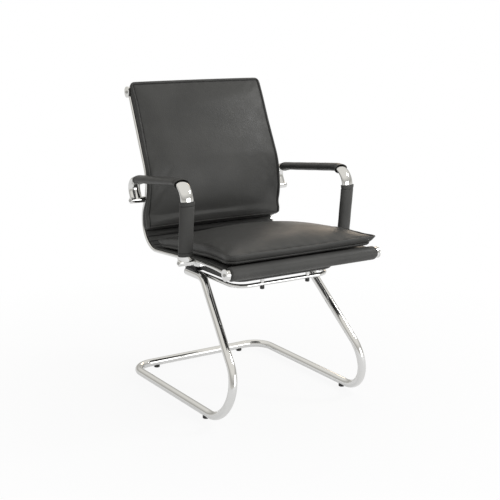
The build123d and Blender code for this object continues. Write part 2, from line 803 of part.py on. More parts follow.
# Seat board: a rounded slab on the mount plates, with two ribs that rise to the cross members.
with BuildPart() as seat_board:
    with BuildSketch(Plane.XY.offset(board_bottom)):
        with Locations((0, (board_front_y + board_rear_y) / 2)):
            RectangleRounded(2 * board_half_width, board_rear_y - board_front_y, board_corner_radius)
    extrude(amount=board_thickness)
    fillet(seat_board.faces().filter_by(Plane.XY).edges(), board_round)
    for plane, half, screw_x in members:
        with BuildSketch(plane.offset(-member_thickness)):
            RectangleRounded(2 * board_rib_half, member_width, member_round)
        extrude(until=Until.NEXT, dir=(0, 0, -1))
    with BuildSketch(Plane.XY.offset(board_bottom)):
        with Locations(*bolt_spots):
            Circle(seat_bolt_radius)
    extrude(amount=seat_bolt_grip, mode=Mode.SUBTRACT)
    with BuildSketch(Plane.XY.offset(board_bottom)):
        with Locations(*plate_screw_spots, *[(-x, y) for x, y in plate_screw_spots]):
            Circle(screw_radius)
    extrude(amount=board_screw_grip, mode=Mode.SUBTRACT)
seat_board.part.label = "seat_board"
export_step(seat_board.part, "parts/seat_board.step")

# Back bar: ties the two rails behind the lower back.
back_bar_heading = crook_end_heading - back_bar_turn
back_bar_y, back_bar_z = shifted(
    lumbar_centre, back_bar_heading, lumbar_radius - rail_thickness / 2 - back_bar_radius - weld_gap
)
with BuildPart() as back_bar:
    with BuildSketch(Plane.YZ):
        with Locations((back_bar_y, back_bar_z)):
            Circle(back_bar_radius)
    extrude(amount=rail_outer_at(back_bar_y) - back_bar_end_inset, both=True)
back_bar.part.label = "back_bar"
export_step(back_bar.part, "parts/back_bar.step")
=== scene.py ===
from math import atan2, cos, degrees, pi, radians, sin, tan

import bmesh
import bpy
from mathutils import Matrix, Vector
from mathutils.bvhtree import BVHTree


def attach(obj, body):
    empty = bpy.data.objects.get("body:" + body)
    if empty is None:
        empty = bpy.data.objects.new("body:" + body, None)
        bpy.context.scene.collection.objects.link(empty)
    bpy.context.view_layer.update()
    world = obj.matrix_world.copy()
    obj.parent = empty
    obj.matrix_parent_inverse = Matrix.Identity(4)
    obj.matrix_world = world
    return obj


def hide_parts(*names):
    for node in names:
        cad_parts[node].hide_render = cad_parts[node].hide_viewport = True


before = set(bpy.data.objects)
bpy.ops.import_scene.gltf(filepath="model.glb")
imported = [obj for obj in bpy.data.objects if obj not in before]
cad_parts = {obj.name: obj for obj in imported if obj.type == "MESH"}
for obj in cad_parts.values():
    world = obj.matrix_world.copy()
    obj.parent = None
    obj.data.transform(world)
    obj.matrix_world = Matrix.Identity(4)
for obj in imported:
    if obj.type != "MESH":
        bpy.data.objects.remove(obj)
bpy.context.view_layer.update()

# Base tube
# One steel tube, bent cold through both legs, both runners and the rear run.
# It is polished and chrome plated all over, so it mirrors the room.


def new_finish(name, colour, metallic, roughness):
    """A node material of an even colour and gloss, with its tree and its shader."""
    finish = bpy.data.materials.new(name)
    finish.use_nodes = True
    shader = finish.node_tree.nodes["Principled BSDF"]
    shader.inputs["Base Color"].default_value = (*colour, 1)
    shader.inputs["Metallic"].default_value = metallic
    shader.inputs["Roughness"].default_value = roughness
    return finish, finish.node_tree, shader


def add_node(tree, kind, settings=None, **inputs):
    """A node with its inputs set, each picked by its name: a socket is linked, a value is given."""
    node = tree.nodes.new(kind)
    for key, value in (settings or {}).items():
        setattr(node, key, value)
    for key, value in inputs.items():
        socket = node.inputs[key.replace("_", " ")]
        if isinstance(value, bpy.types.NodeSocket):
            tree.links.new(value, socket)
        else:
            socket.default_value = value
    return node


def grain(tree, scale, detail=2.0):
    """Noise on the piece's own coordinates."""
    place = add_node(tree, "ShaderNodeTexCoord")
    return add_node(
        tree, "ShaderNodeTexNoise", Vector=place.outputs["Object"], Scale=scale, Detail=detail
    ).outputs["Fac"]


def spread(tree, value, low, high, given=(0.3, 0.7)):
    """A value's given range, the middle range of noise if none is said, mapped to low and high."""
    return add_node(
        tree, "ShaderNodeMapRange", Value=value,
        From_Min=given[0], From_Max=given[1], To_Min=low, To_Max=high,
    ).outputs["Result"]


def tinted(tree, value, dark, light):
    """A colour between a dark and a light one, by a value from 0 to 1."""
    node = add_node(
        tree, "ShaderNodeMix", {"data_type": "RGBA"}, Factor=value, A=(*dark, 1), B=(*light, 1)
    )
    return next(out for out in node.outputs if out.type == "RGBA")


def vary(tree, shader, gloss, tint, bump=None):
    """Noise in a finish's gloss and colour, and in its surface where it has a bump.

    Gloss and tint are a scale of noise and two ends, bump is a scale, a strength and a depth.
    """
    scale, low, high = gloss
    tree.links.new(spread(tree, grain(tree, scale), low, high), shader.inputs["Roughness"])
    scale, dark, light = tint
    tree.links.new(tinted(tree, grain(tree, scale), dark, light), shader.inputs["Base Color"])
    if bump:
        scale, strength, depth = bump
        raised = add_node(
            tree, "ShaderNodeBump", Height=grain(tree, scale), Strength=strength, Distance=depth
        )
        tree.links.new(raised.outputs["Normal"], shader.inputs["Normal"])


def dress(finish, *names):
    """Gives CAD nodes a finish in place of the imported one."""
    for name in names:
        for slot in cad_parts[name].material_slots:
            slot.material = finish


chrome, tree, shader = new_finish(
    "chrome_plate", (0.76, 0.76, 0.75), metallic=1.0, roughness=0.07
)
vary(
    tree, shader, gloss=(14.0, 0.05, 0.10),
    tint=(5.0, (0.72, 0.72, 0.71), (0.80, 0.80, 0.79)), bump=(60.0, 0.02, 0.001),
)
dress(chrome, "base_tube")

# Floor glides and tube plugs
# Black nylon mouldings: feet that clip round the tube from below, and plugs in its upper ends.
# They have the fine texture of a spark-eroded mould.
black_nylon, tree, shader = new_finish(
    "black_nylon", (0.014, 0.014, 0.014), metallic=0.0, roughness=0.5
)
vary(
    tree, shader, gloss=(300.0, 0.4, 0.6),
    tint=(40.0, (0.010, 0.010, 0.010), (0.022, 0.022, 0.021)), bump=(900.0, 0.2, 0.0004),
)
dress(black_nylon, "floor_glides", "tube_plugs")

# Support bar with its bolts
# A plated rod bent in a U and welded between the tube's upper ends, under the seat's front.
# Two bolts go up through it and its spacers into the board; black caps cover their heads.
dress(chrome, "seat_support_bar", "bolt_spacers")
dress(black_nylon, "bolt_caps")
plain_steel, tree, shader = new_finish(
    "plain_steel", (0.42, 0.42, 0.41), metallic=1.0, roughness=0.32
)
vary(
    tree, shader, gloss=(120.0, 0.22, 0.42),
    tint=(60.0, (0.34, 0.34, 0.33), (0.50, 0.50, 0.48)),
)
dress(plain_steel, "seat_bolts")

# Mount plates
# Flat steel plates welded on the tube's upper ends and screwed to the board above.
# They are powder coated black, with the slight orange peel of that coat.
black_powder, tree, shader = new_finish(
    "black_powder_coat", (0.016, 0.016, 0.016), metallic=0.0, roughness=0.42
)
vary(
    tree, shader, gloss=(90.0, 0.34, 0.5),
    tint=(25.0, (0.012, 0.012, 0.012), (0.024, 0.024, 0.024)), bump=(350.0, 0.15, 0.0006),
)
dress(black_powder, "mount_plates")
dress(plain_steel, "plate_screws")

# Seat board
# A plywood board on the mount plates, with two ribs that rise to the cross members.
# It is lacquered black, and its grain shows faintly through the lacquer.
black_lacquer, tree, shader = new_finish(
    "black_lacquer", (0.014, 0.013, 0.012), metallic=0.0, roughness=0.45
)
place = add_node(tree, "ShaderNodeTexCoord")
grain_run = (6.0, 90.0, 90.0)
long_grain = add_node(tree, "ShaderNodeMapping", Vector=place.outputs["Object"], Scale=grain_run)
plies = add_node(
    tree, "ShaderNodeTexNoise", Vector=long_grain.outputs["Vector"], Scale=4.0, Detail=4.0
).outputs["Fac"]
lacquer_tint = tinted(tree, plies, (0.010, 0.010, 0.009), (0.022, 0.020, 0.018))
tree.links.new(lacquer_tint, shader.inputs["Base Color"])
tree.links.new(spread(tree, plies, 0.38, 0.52), shader.inputs["Roughness"])
open_pores = add_node(tree, "ShaderNodeBump", Height=plies, Strength=0.12, Distance=0.0006)
tree.links.new(open_pores.outputs["Normal"], shader.inputs["Normal"])
dress(black_lacquer, "seat_board")

# Rails and cross members
# Flat plated bars with round edges, bent to the seat and back line, tied by bars and tubes across.
# Caps screwed on their outer sides close the rolls' ends.
dress(chrome, "rail_right", "rail_left", "front_cross_member", "rear_cross_member")
dress(chrome, "back_bar", "end_caps")
dress(plain_steel, "front_cross_tube", "top_cross_tube", "end_cap_screws", "member_screws")

# Sling
# Two layers of leather with thin foam between, stretched between the rails and rolled round
# both cross tubes. Rows sewn across it behind the seat let it bend there.
roll_y, roll_z = -0.307, 0.454
front_rise, seat_slope, lumbar_forward, back_lean = 6.4, 4.5, 31.5, 25.0
front_radius, crook_radius, lumbar_radius = 0.800, 0.085, 0.126
seat_flat, back_flat = 0.290, 0.2415
crook_turn = 90 + lumbar_forward + seat_slope
seat_runs = [
    (front_radius * radians(front_rise + seat_slope), -front_rise - seat_slope),
    (seat_flat, 0.0),
    (crook_radius * radians(crook_turn), crook_turn),
    (lumbar_radius * radians(lumbar_forward + back_lean), -lumbar_forward - back_lean),
    (back_flat, 0.0),
]
seat_length = sum(length for length, turn in seat_runs)
rail_toe, rail_outer = radians(2.2), 0.258


def walk(place, heading, runs, distance):
    """Place and heading at a distance along runs, each of a length and a turn in degrees.

    The last run goes on beyond its length.
    """
    y, z = place
    for number, (length, turn) in enumerate(runs):
        part = distance if number == len(runs) - 1 else min(distance, length)
        after = heading + turn * part / length
        if turn:
            radius = length / radians(turn)
            y += radius * (sin(radians(after)) - sin(radians(heading)))
            z -= radius * (cos(radians(after)) - cos(radians(heading)))
        else:
            y += part * cos(radians(heading))
            z += part * sin(radians(heading))
        heading = after
        distance -= part
        if distance <= 0:
            break
    return y, z, heading


def on_seat(x, distance, gap):
    """A point out to the side by x and a gap above the rails' middle line."""
    y, z, heading = walk((roll_y, roll_z), front_rise, seat_runs, distance)
    return Vector((x, y - gap * sin(radians(heading)), z + gap * cos(radians(heading))))


def rail_half(y):
    """Half the width over the rails at a place from front to back."""
    return rail_outer - (y - roll_y) * tan(rail_toe)


def new_piece(name, bm, finish):
    """Makes an object of a bmesh, at the origin, with its finish, riding on the chair."""
    bmesh.ops.recalc_face_normals(bm, faces=bm.faces)
    mesh = bpy.data.meshes.new(name)
    for face in bm.faces:
        face.smooth = True
    bm.to_mesh(mesh)
    bm.free()
    piece = bpy.data.objects.new(name, mesh)
    bpy.context.scene.collection.objects.link(piece)
    mesh.materials.append(finish)
    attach(piece, "root")
    return piece


# Near-black of the seam lines: the dark seam itself, with painted shade of its sewn groove.
seam_and_shade_black, leather_shine = (0.010, 0.010, 0.0095), 0.17


def leather(name, dark, light, gloss, cells):
    """Grained black leather with pebbled cells, and a dark seam line with painted groove shade
    where the mesh marks a seam.
    """
    finish, tree, shader = new_finish(name, light, metallic=0.0, roughness=gloss)
    shader.inputs["Specular IOR Level"].default_value = leather_shine
    place = add_node(tree, "ShaderNodeTexCoord")
    pebbles = add_node(
        tree, "ShaderNodeTexVoronoi", {"feature": "SMOOTH_F1"},
        Vector=place.outputs["Object"], Scale=cells, Smoothness=0.6,
    ).outputs["Distance"]
    slow = spread(tree, grain(tree, 7.0, 3.0), 0.0, 1.0)
    # The seam mask mixes in that near-black: a dark seam line with painted shade in its sewn
    # groove.
    sewn = add_node(tree, "ShaderNodeAttribute", {"attribute_name": "seam"}).outputs["Fac"]
    seam_shaded_mix = add_node(
        tree, "ShaderNodeMix", {"data_type": "RGBA"}, Factor=spread(tree, sewn, 0.0, 0.9),
        A=tinted(tree, slow, dark, light), B=(*seam_and_shade_black, 1),
    )
    colour = next(out for out in seam_shaded_mix.outputs if out.type == "RGBA")
    tree.links.new(colour, shader.inputs["Base Color"])
    shine = spread(tree, grain(tree, 18.0, 4.0), gloss - 0.05, gloss + 0.07)
    tree.links.new(shine, shader.inputs["Roughness"])
    coarse = add_node(
        tree, "ShaderNodeBump", Height=grain(tree, 55.0, 5.0), Strength=0.14, Distance=0.003
    )
    fine = add_node(
        tree, "ShaderNodeBump", Height=pebbles, Strength=0.22, Distance=0.0012,
        Normal=coarse.outputs["Normal"],
    )
    tree.links.new(fine.outputs["Normal"], shader.inputs["Normal"])
    return finish


sling_leather = leather(
    "sling_leather", dark=(0.061, 0.061, 0.0584), light=(0.077, 0.0766, 0.0734),
    gloss=0.44, cells=420.0,
)
sling_middle, sling_thick, sling_margin, sling_ends = 0.0083, 0.006, 0.008, 0.008
sling_round, sharp = 0.002, radians(60)
rib_depth, rib_width, rib_seam = 0.0022, 0.0045, 0.004
channel_puff, puff_change, firm_edge, puff_ramp = 0.0044, 0.25, 0.024, 0.03
rib_headings = (4.0, 18.5, 33.0, 47.5, 62.0)
crook_start = seat_runs[0][0] + seat_runs[1][0]
rib_places = [
    crook_start + crook_radius * radians(seat_slope + heading) for heading in rib_headings
]

bm = bmesh.new()
bmesh.ops.create_grid(bm, x_segments=24, y_segments=420, size=1.0)
seam_and_shade_mask = bm.verts.layers.float.new("seam")
for vert in bm.verts:
    distance = sling_ends + (seat_length - 2 * sling_ends) * (vert.co.y + 1) / 2
    # The sewn rib valleys are marked for painted shade in the leather's colour, darkest in each
    # valley's middle.
    vert[seam_and_shade_mask] = max(max(0.0, 1 - abs(distance - rib) / rib_seam) for rib in rib_places)
    dip = sum(rib_depth * max(0.0, 1 - abs(distance - rib) / rib_width) for rib in rib_places)
    puff = sum(
        channel_puff * max(0.0, 1 - (2 * (distance - low) / (high - low) - 1) ** 2)
        for low, high in zip(rib_places, rib_places[1:])
    )
    half = rail_half(on_seat(0, distance, 0).y)
    x = vert.co.x * (half - sling_margin)
    loose = min(1.0, max(0.0, (half - firm_edge - abs(x)) / puff_ramp))
    pull = 1 + puff_change * sin(90 * x + 3 * sin(400 * distance))
    vert.co = on_seat(x, distance, sling_middle + loose * (puff * pull - dip))
bmesh.ops.recalc_face_normals(bm, faces=bm.faces)
bmesh.ops.solidify(bm, geom=bm.faces[:], thickness=sling_thick)
sides = [edge for edge in bm.edges if edge.is_manifold and edge.calc_face_angle() > sharp]
bmesh.ops.bevel(
    bm, geom=sides, offset=sling_round, segments=3, profile=0.5, affect="EDGES", material=-1
)
front_roll, top_roll, roll_bore, roll_gap, roll_round = 0.020, 0.0185, 0.0103, 0.0095, 0.007


def roll(bm, y, z, radius, half):
    """Leather rolled round a cross tube: a thick ring spun about the tube's line."""
    made = bmesh.ops.create_grid(bm, x_segments=24, y_segments=1, size=1.0)["verts"]
    for vert in made:
        height = radius if vert.co.y > 0 else roll_bore
        vert.co = Vector((vert.co.x * half, y, z + height))
    edges = dict.fromkeys(edge for vert in made for edge in vert.link_edges)
    faces = dict.fromkeys(face for vert in made for face in vert.link_faces)
    outline = [edge for edge in edges if edge.is_boundary]
    bmesh.ops.delete(bm, geom=list(faces), context="FACES_ONLY")
    bmesh.ops.spin(
        bm, geom=outline + made, cent=(0, y, z), axis=(1, 0, 0), angle=2 * pi, steps=48,
        use_merge=True,
    )


front_half = rail_half(roll_y) - roll_gap
roll(bm, roll_y, roll_z, front_roll, front_half)
top_point = on_seat(0, seat_length, 0.0)
top_half = rail_half(top_point.y) - roll_gap
roll(bm, top_point.y, top_point.z, top_roll, top_half)
roll_centres = (Vector((roll_y, roll_z)), top_point.yz)
roll_wall_middle = (roll_bore + top_roll) / 2
bmesh.ops.delete(bm, geom=[edge for edge in bm.edges if not edge.link_faces], context="EDGES")
lips = [
    edge for edge in bm.edges
    if edge.is_manifold and edge.calc_face_angle() > sharp
    and abs(edge.verts[0].co.x - edge.verts[1].co.x) < 1e-6
    and min(abs(abs(edge.verts[0].co.x) - half) for half in (front_half, top_half)) < 1e-5
    and all((edge.verts[0].co.yz - centre).length > roll_wall_middle for centre in roll_centres)
]
bmesh.ops.bevel(
    bm, geom=lips, offset=roll_round, segments=5, profile=0.5, affect="EDGES", material=-1
)
sling = new_piece("sling_leather_band", bm, sling_leather)
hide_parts("sling")

# Cushions
# Boxed leather cushions with foam inside, laid on the sling: a crowned face with a sewn border,
# a strip round the sides with a seam along its middle, and a flat underside.
pad_leather = leather(
    "pad_leather", dark=(0.059, 0.059, 0.0566), light=(0.074, 0.0736, 0.0704),
    gloss=0.38, cells=380.0,
)
pad_rest, bed_gap = 0.0116, 0.0003
border_rows, border_row, border_step = 3, 2, 0.0036
welt_rise, seam_dip, pucker_rise = 0.0020, 0.0032, 0.0008
ear_reach, corner_growth, base_tuck = 0.022, 0.004, 0.0010
last_frame = 20


def between(stations, share):
    """Smooth values at a share of the length, from a few stations along it."""
    number = max(k for k in range(len(stations) - 1) if k == 0 or stations[k][0] <= share)
    a, b = stations[number], stations[number + 1]
    before, after = stations[max(0, number - 1)], stations[min(len(stations) - 1, number + 2)]
    run = b[0] - a[0]
    t = (share - a[0]) / run
    values = []
    for k in range(1, len(a)):
        slope_a = (b[k] - before[k]) / (b[0] - before[0]) * run
        slope_b = (after[k] - a[k]) / (after[0] - a[0]) * run
        values.append(
            a[k] * (1 + 2 * t) * (1 - t) ** 2 + slope_a * t * (1 - t) ** 2
            + b[k] * t * t * (3 - 2 * t) + slope_b * t * t * (t - 1)
        )
    return values


def spaced(number, count, whole):
    """Place of a grid line across a panel, with a few narrow border rows along each edge."""
    rest = whole - 2 * border_rows * border_step
    if number <= border_rows:
        return number * border_step - whole / 2
    if number >= count - border_rows:
        return whole / 2 - (count - number) * border_step
    share = (number - border_rows) / (count - 2 * border_rows)
    return border_rows * border_step + share * rest - whole / 2


def rounded(x, s, half, reach, corner):
    """A point of a square panel moved so that the panel's corners are round."""
    p = (abs(x) - half + corner) / corner
    q = (abs(s) - reach + corner) / corner
    if p > 0 and q > 0:
        x = (half - corner + corner * p * (1 - q * q / 2) ** 0.5) * (1 if x > 0 else -1)
        s = (reach - corner + corner * q * (1 - p * p / 2) ** 0.5) * (1 if s > 0 else -1)
    return x, s


def bed(distance):
    """Height of what a cushion lies on: the sling's face, and each roll where it stands higher."""
    height = pad_rest
    for place, radius in ((0.0, front_roll + bed_gap), (seat_length, top_roll + bed_gap)):
        if abs(distance - place) < radius:
            height = max(height, (radius ** 2 - (distance - place) ** 2) ** 0.5)
    return height


def blow_up(pad, held, cap):
    """A short cloth simulation with air pressure; its shape is kept, moved by a cap at most."""
    group = pad.vertex_groups.new(name="held")
    group.add(held, 1.0, "REPLACE")
    cloth = pad.modifiers.new("cloth", "CLOTH")
    cloth.settings.quality = 6
    cloth.settings.mass = 0.3
    cloth.settings.use_pressure = True
    cloth.settings.uniform_pressure_force = 4.0
    cloth.settings.effector_weights.gravity = 0.0
    cloth.settings.vertex_group_mass = "held"
    cloth.point_cache.frame_start, cloth.point_cache.frame_end = 1, last_frame
    scene = bpy.context.scene
    for number in range(1, last_frame + 1):
        scene.frame_set(number)
    blown = pad.evaluated_get(bpy.context.evaluated_depsgraph_get())
    shape = [vert.co.copy() for vert in blown.data.vertices]
    pad.modifiers.remove(cloth)
    pad.vertex_groups.clear()
    scene.frame_set(1)
    for vert, place in zip(pad.data.vertices, shape):
        move = place - vert.co
        vert.co += move * min(1.0, cap / max(move.length, 1e-9))


def cushion(name, first, last, stations, corner, soft, ear, undercut, seam, panel, cap):
    """A boxed cushion on the sling, blown up by a cloth simulation with its seams held.

    A station is a share of the length, then the face's inset from the rails' outer sides, the
    lift off the sling, the height of the sides and the crown. The front left corner has a soft
    radius of its own, the others an ear. The base is undercut at the front and at the sides.
    """
    across, along = panel
    length = last - first
    upper = 1 - seam
    # Rows of the side strip, face to base: a share of the height, and how far the row stands out.
    strip = [
        (1 - 0.24 * upper, 0.0014), (1 - 0.56 * upper, 0.0022), (1 - 0.84 * upper, 0.0012),
        (seam, -0.0014), (seam * 0.84, 0.0010), (seam * 0.52, 0.0018), (seam * 0.2, 0.0008),
    ]
    bm = bmesh.new()
    bmesh.ops.create_grid(bm, x_segments=across, y_segments=along, size=1.0)
    level = bm.verts.layers.float.new("level")
    seam_and_shade_mask = bm.verts.layers.float.new("seam")
    for vert in bm.verts:
        vert[level] = 1.0
    copy = bmesh.ops.duplicate(bm, geom=bm.faces[:])["geom"]
    for vert in (item for item in copy if isinstance(item, bmesh.types.BMVert)):
        vert[level] = 0.0
    underside = [item for item in copy if isinstance(item, bmesh.types.BMFace)]
    bmesh.ops.reverse_faces(bm, faces=underside)
    rim = [item for item in bm.edges if item.is_boundary and item.verts[0][level] == 1.0]
    outward = {1.0: 0.0, 0.0: -base_tuck}
    for share, out in strip:
        moved = bmesh.ops.extrude_edge_only(bm, edges=rim)["geom"]
        for vert in (item for item in moved if isinstance(item, bmesh.types.BMVert)):
            vert[level] = share
            outward[round(vert[level], 5)] = out
        rim = [item for item in moved if isinstance(item, bmesh.types.BMEdge)]
    below = [item for item in bm.edges if item.is_boundary and item.verts[0][level] == 0.0]
    bmesh.ops.bridge_loops(bm, edges=rim + below)
    bm.verts.index_update()
    held = []
    for vert in bm.verts:
        i = round((vert.co.x + 1) / 2 * across)
        j = round((vert.co.y + 1) / 2 * along)
        high = vert[level]
        ring = min(i, across - i, j, along - j)
        s = spaced(j, along, length)
        share = s / length + 0.5
        inset, lift, side, crown = between(stations, share)
        half = rail_half(on_seat(0, first + share * length, 0).y) - inset
        x = spaced(i, across, 2 * half)
        out = outward[round(high, 5)]
        bow = 1 - (x / half) ** 2
        rounding = soft if x < 0 and s < 0 else corner
        near = max(0.0, 1 - (half - abs(x)) / ear_reach)
        near *= max(0.0, 1 - (length / 2 - abs(s)) / ear_reach)
        x, s = rounded(
            x * (1 + out / half), s * (1 + 2 * out / length), half + out, length / 2 + out,
            rounding + out + corner_growth * (1 - high),
        )
        if rounding == corner:
            x += ear * near * high ** 2 * (1 if x > 0 else -1)
            s += ear * near * high ** 2 * (1 if s > 0 else -1)
        s += undercut[0] * (1 - high) * (1 - share)
        x *= 1 - undercut[1] * (1 - high) / half
        pucker = pucker_rise * (sin(150 * x + 2 * sin(23 * s)) + sin(140 * s + 2 * sin(19 * x)))
        top = side + crown * bow
        if high == 1.0:
            rows = {1: welt_rise + pucker, border_row: -seam_dip, border_rows: pucker}
            top += rows.get(ring, 0.0)
        distance = first + length / 2 + s
        floor = max(pad_rest + lift, bed(distance))
        vert.co = on_seat(x, distance, floor + (pad_rest + lift + top - floor) * high)
        sewn = abs(high - seam) < 1e-5 or (high == 1.0 and ring == border_row)
        # Seam rows get a dark seam line with painted groove shade in the leather's colour.
        vert[seam_and_shade_mask] = 1.0 if sewn else 0.0
        if sewn or high == 0.0 or (high == 1.0 and ring == 0):
            held.append(vert.index)
    pad = new_piece(name, bm, pad_leather)
    blow_up(pad, held, cap)
    smooth = pad.modifiers.new("smooth", "SUBSURF")
    smooth.levels = smooth.render_levels = 1
    return pad


thread, tree, shader = new_finish(
    "black_thread", (0.02, 0.02, 0.019), metallic=0.0, roughness=0.6
)
vary(
    tree, shader, gloss=(500.0, 0.5, 0.7),
    tint=(700.0, (0.010, 0.010, 0.010), (0.030, 0.029, 0.027)),
)
stitch_pitch, stitch_fill, stitch_wide, stitch_high = 0.0055, 0.36, 0.0006, 0.0005
border_parts, drop_height = 60, 0.09


def sew(name, pad, first, last, stations):
    """A row of stitches in the sewn border of a cushion's face, each laid on the surface."""
    length = last - first
    inset_row = border_row * border_step
    right = []
    for number in range(border_parts + 1):
        share = inset_row / length + (1 - 2 * inset_row / length) * number / border_parts
        distance = first + share * length
        heading = radians(walk((roll_y, roll_z), front_rise, seat_runs, distance)[2])
        half = rail_half(on_seat(0, distance, 0).y) - between(stations, share)[0] - inset_row
        down = Vector((0, sin(heading), -cos(heading)))
        right.append((on_seat(half, distance, drop_height), down))
    left = [(Vector((-spot.x, spot.y, spot.z)), down) for spot, down in reversed(right)]
    path = right + left + right[:1]
    shown = bpy.context.evaluated_depsgraph_get()
    surface = BVHTree.FromObject(pad.evaluated_get(shown), shown)
    bm = bmesh.new()
    for (here, down), after in zip(path, path[1:]):
        run = after[0] - here
        count = max(1, round(run.length / stitch_pitch))
        for number in range(count):
            spot, normal = surface.ray_cast(here + run * (number + 0.5) / count, down)[:2]
            if spot is None:
                continue
            ahead = (run - normal * run.dot(normal)).normalized()
            turn = Matrix((ahead, normal.cross(ahead), normal)).transposed().to_4x4()
            size = Matrix.Diagonal((stitch_pitch * stitch_fill, stitch_wide, stitch_high, 1.0))
            bmesh.ops.create_icosphere(
                bm, subdivisions=1, radius=1.0, matrix=Matrix.Translation(spot) @ turn @ size
            )
    new_piece(name, bm, thread)


seat_stations = [
    (0.0, 0.0075, 0.008, 0.031, -0.004),
    (0.12, 0.0141, 0.005, 0.0310, 0.016),
    (0.42, 0.0180, 0.0, 0.0360, 0.029),
    (0.75, 0.0155, 0.0, 0.0340, 0.022),
    (1.0, 0.010, 0.0, 0.0215, 0.008),
]
seat_first, seat_last = 0.003, 0.432
seat_pad = cushion(
    "seat_cushion", seat_first, seat_last, seat_stations, corner=0.011, soft=0.030, ear=0.005,
    undercut=(0.013, 0.0065), seam=0.3, panel=(56, 52), cap=0.007,
)
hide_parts("seat_pad")

back_stations = [
    (0.0, -0.004, 0.0, 0.034, 0.003),
    (0.09, -0.004, 0.0, 0.0395, 0.006),
    (0.2, -0.004, 0.0, 0.0265, 0.009),
    (0.33, 0.0005, 0.0, 0.0130, 0.011),
    (0.5, 0.0020, 0.0, 0.0150, 0.012),
    (0.7, 0.0035, 0.0, 0.0175, 0.011),
    (0.88, 0.0026, 0.0, 0.0195, 0.008),
    (1.0, 0.001, 0.0, 0.0158, 0.003),
]
back_first, back_over = 0.536, 0.021
back_last = seat_length + back_over
back_pad = cushion(
    "back_cushion", back_first, back_last, back_stations, corner=0.014, soft=0.014, ear=0.0,
    undercut=(0.006, 0.0), seam=0.5, panel=(54, 58), cap=0.004,
)
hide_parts("back_pad")
bpy.context.view_layer.update()
sew("seat_cushion_stitches", seat_pad, seat_first, seat_last, seat_stations)
sew("back_cushion_stitches", back_pad, back_first, back_last, back_stations)

# Arms
# Flat oval steel tubes, plated and bent over the elbow, with a short tube welded across each foot.
# A bolt through that tube holds the arm to the rail.
arm_out, arm_half, arm_rise = 0.0266, 0.0195, 0.0092
foot_tube, foot_near, foot_far, foot_round = 0.0096, 0.0003, 0.0476, 0.0016
post_lean, top_slope, rear_foot_turn = 5.9, 6.0, 10.0
elbow_radius, rear_radius = 0.052, 0.030
foot_y, elbow_z, rear_reach = -0.121, 0.684, 0.029
bend_start = on_seat(0, seat_runs[0][0], 0)
foot_z = bend_start.z - (foot_y - bend_start.y) * tan(radians(seat_slope))
foot = Vector(((foot_y - roll_y) / cos(rail_toe), foot_z))
crook_end = sum(length for length, turn in seat_runs[:3])
rear_place = on_seat(0, crook_end + lumbar_radius * radians(rear_foot_turn), 0)
rear_foot = Vector(((rear_place.y - roll_y) / cos(rail_toe), rear_place.z))
elbow = Vector((foot.x - (elbow_z - foot.y) * tan(radians(post_lean)), elbow_z))
rear_u = rear_foot.x + rear_reach
rear_corner = Vector((rear_u, elbow.y - (rear_u - elbow.x) * tan(radians(top_slope))))
elbow_turn = 90 + post_lean + top_slope
rear_turn = -top_slope - degrees(atan2(rear_foot.y - rear_corner.y, rear_foot.x - rear_corner.x))
elbow_tangent = elbow_radius * tan(radians(elbow_turn / 2))
rear_tangent = rear_radius * tan(radians(rear_turn / 2))
arm_runs = [
    ((elbow - foot).length - elbow_tangent, 0.0),
    (elbow_radius * radians(elbow_turn), -elbow_turn),
    ((rear_corner - elbow).length - elbow_tangent - rear_tangent, 0.0),
    (rear_radius * radians(rear_turn), -rear_turn),
    ((rear_foot - rear_corner).length - rear_tangent, 0.0),
]
arm_length = sum(length for length, turn in arm_runs)


def on_arm(u, z, out, side):
    """A point of the arm's own plane, set out from the rail's outer face, on either side."""
    return Vector((
        side * (rail_outer - sin(rail_toe) * u + cos(rail_toe) * out),
        roll_y + cos(rail_toe) * u + sin(rail_toe) * out,
        z,
    ))


def round_arm(distance, turn, grow, side):
    """A point on the arm's oval, a share of the way round it, grown out by some thickness."""
    u, z, heading = walk(foot, 90 + post_lean, arm_runs, distance)
    across = (arm_half + grow) * cos(2 * pi * turn)
    up = (arm_rise + grow) * sin(2 * pi * turn)
    u -= up * sin(radians(heading))
    z += up * cos(radians(heading))
    return on_arm(u, z, arm_out + across, side)


for side, word in ((1, "right"), (-1, "left")):
    bm = bmesh.new()
    bmesh.ops.create_grid(bm, x_segments=40, y_segments=220, size=1.0)
    for vert in bm.verts:
        vert.co = round_arm(arm_length * (vert.co.y + 1) / 2, (vert.co.x + 1) / 2, 0.0, side)
    bmesh.ops.remove_doubles(bm, verts=bm.verts, dist=1e-6)
    bmesh.ops.holes_fill(bm, edges=[edge for edge in bm.edges if edge.is_boundary], sides=0)
    for u, z in (foot, rear_foot):
        near, far = on_arm(u, z, foot_near, side), on_arm(u, z, foot_far, side)
        aim = (far - near).to_track_quat("Z", "Y").to_matrix().to_4x4()
        made = bmesh.ops.create_cone(
            bm, cap_ends=True, segments=40, radius1=foot_tube, radius2=foot_tube,
            depth=(far - near).length, matrix=Matrix.Translation((near + far) / 2) @ aim,
        )["verts"]
        edges = dict.fromkeys(edge for vert in made for edge in vert.link_edges)
        rims = [edge for edge in edges if edge.calc_face_angle() > sharp]
        bmesh.ops.bevel(
            bm, geom=rims, offset=foot_round, segments=3, profile=0.5, affect="EDGES", material=-1
        )
    piece = new_piece(f"arm_tube_{word}", bm, chrome)
    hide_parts(f"arm_{word}")
dress(plain_steel, "arm_bolts")

